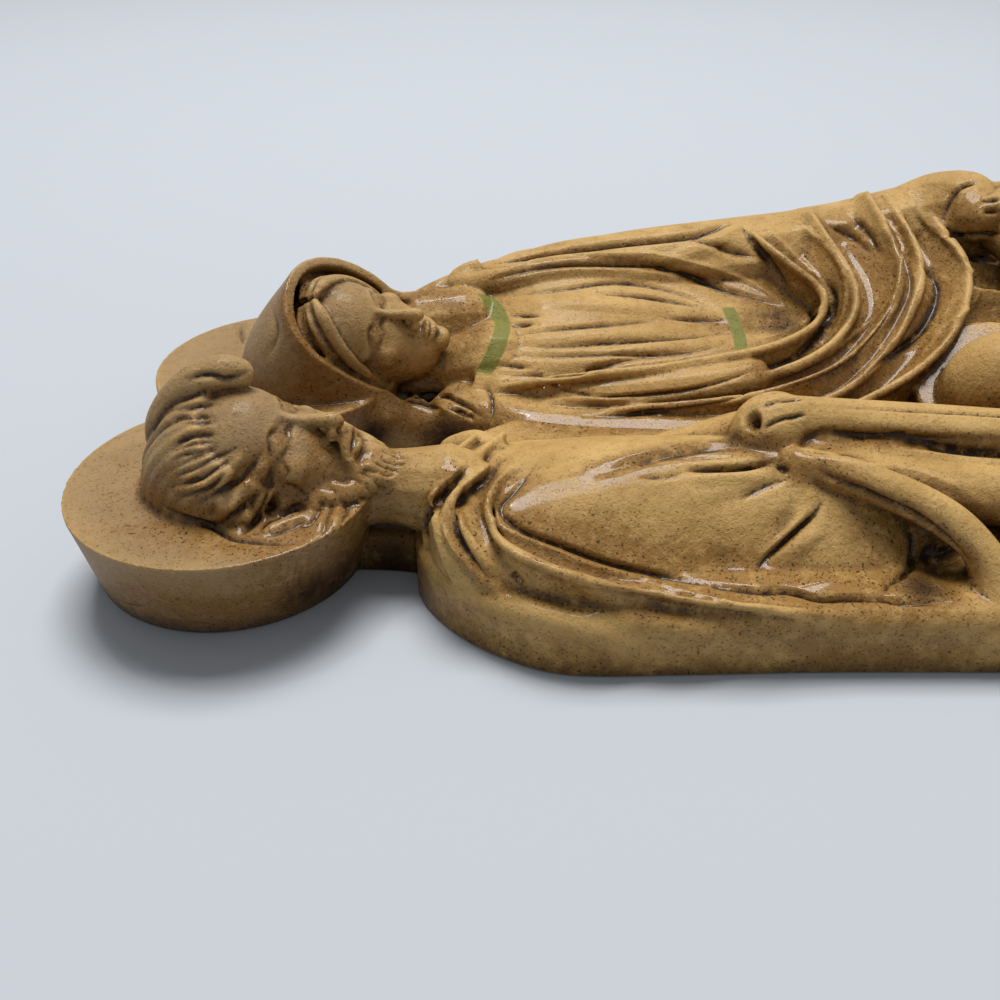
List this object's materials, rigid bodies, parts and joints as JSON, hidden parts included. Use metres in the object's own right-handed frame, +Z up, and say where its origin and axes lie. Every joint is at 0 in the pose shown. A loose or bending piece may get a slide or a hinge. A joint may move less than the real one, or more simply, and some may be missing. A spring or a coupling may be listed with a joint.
{
  "type": "relief wall plaque",
  "caption": "Cast relief of a standing family group with thick round halos and draped mantles on a plain base, flat at the back to lie on a wall.",
  "frame": {"origin": "point on the flat back that lies on the wall, on the line between the two tall figures at the height of their chests", "axes": "+Z up the wall from the feet to the halos, +Y into the wall, -Y out of the wall towards the room, +X to the right as one looks at the front"},
  "size_m": [0.193, 0.0736, 0.4088],
  "materials": {
    "cast_resin": "satin"
  },
  "bodies": {
    "root": {"holy_family_plaque": "cast_resin"}
  },
  "joints": []
}
